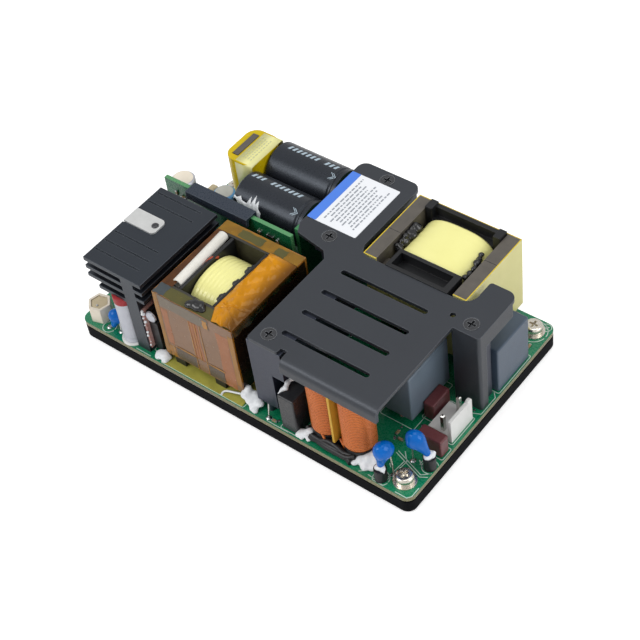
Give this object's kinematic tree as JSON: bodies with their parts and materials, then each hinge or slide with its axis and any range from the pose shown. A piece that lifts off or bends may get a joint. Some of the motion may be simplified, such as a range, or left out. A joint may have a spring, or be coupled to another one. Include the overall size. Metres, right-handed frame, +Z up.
{
  "type": "open frame power supply",
  "caption": "Open frame mains power supply: a circuit board on a black base plate, with wound parts, heat sinks, capacitors and a slotted cover plate over the input side.",
  "frame": {"origin": "centre of the underside of the base plate", "axes": "+X along the long edge towards the mains input, +Y along the short edge towards the side of the bulk capacitors, +Z up from the base plate"},
  "size_m": [0.127, 0.0793, 0.0392],
  "materials": {
    "black_anodised": "black anodised aluminium, satin",
    "black_extrusion": "black anodised extrusion, satin",
    "board_green": "glass fibre board with green solder mask, glossy",
    "white_film": "soft heat conducting film, matt",
    "plated_screw": "nickel plated steel, polished",
    "black_screw": "blackened steel, satin",
    "white_nylon": "moulded nylon, satin",
    "black_plastic": "moulded black plastic, satin",
    "ferrite": "sintered ferrite, matt",
    "copper_wire": "enamelled copper wire, glossy",
    "yellow_tape": "polyester film tape, glossy",
    "amber_tape": "amber polyimide tape, glossy",
    "fibre_board": "glass fibre sheet, matt",
    "grey_case": "moulded grey case, satin",
    "blue_dip": "dipped epoxy, glossy",
    "maroon_case": "moulded case, satin",
    "tinned_pin": "tinned brass pin, polished",
    "mica_strip": "insulating strip, matt",
    "silver_can": "coated aluminium can, satin",
    "black_sleeve": "shrink sleeve, semi-gloss",
    "white_sleeve": "insulating sleeve, satin",
    "blue_sleeve": "shrink sleeve, glossy",
    "spring_steel": "plain spring steel, satin",
    "beige_case": "moulded case, satin"
  },
  "bodies": {
    "root": {"base_plate": "black_anodised", "circuit_board": "board_green", "thermal_film": "white_film", "corner_screw_front_right": "plated_screw", "corner_screw_back_right": "plated_screw", "corner_screw_back_left": "plated_screw", "corner_cup": "white_nylon", "cover_plate": "black_anodised", "cover_screw_front": "black_screw", "cover_screw_middle": "black_screw", "cover_screw_rear": "black_screw", "cover_screw_side": "black_screw", "front_bar": "black_extrusion", "rear_bar": "black_extrusion", "side_post": "black_extrusion", "relay": "black_plastic", "choke_coil_left": "copper_wire", "choke_coil_right": "copper_wire", "choke_core": "ferrite", "choke_base": "black_plastic", "choke_divider": "fibre_board", "x_capacitor_middle": "grey_case", "x_capacitor_side": "grey_case", "fuse_front": "maroon_case", "fuse_side": "maroon_case", "input_header": "white_nylon", "input_pin_front": "tinned_pin", "input_pin_back": "tinned_pin", "disc_capacitor_front": "blue_dip", "disc_capacitor_side": "blue_dip", "disc_capacitor_output": "blue_dip", "ferrite_bead_front": "ferrite", "ferrite_bead_side": "ferrite", "heat_sink": "black_extrusion", "spring_clip": "spring_steel", "insulating_strip": "mica_strip", "power_transistor": "black_plastic", "output_capacitor_front": "silver_can", "output_capacitor_back": "silver_can", "transformer_sheet": "fibre_board", "transformer_tape": "amber_tape", "transformer_core": "ferrite", "transformer_bobbin": "black_plastic", "transformer_winding": "yellow_tape", "lead_sleeve": "white_sleeve", "tape_wrap": "amber_tape", "boost_core": "ferrite", "boost_tape": "yellow_tape", "boost_bobbin": "black_plastic", "boost_winding": "yellow_tape", "control_board": "board_green", "edge_channel": "black_extrusion", "carrier_board": "board_green", "bulk_capacitor_back": "black_sleeve", "bulk_capacitor_front": "black_sleeve", "inductor_winding": "yellow_tape", "inductor_core": "ferrite", "filter_capacitor": "silver_can", "small_capacitor": "blue_sleeve", "film_capacitor": "beige_case"}
  },
  "joints": []
}
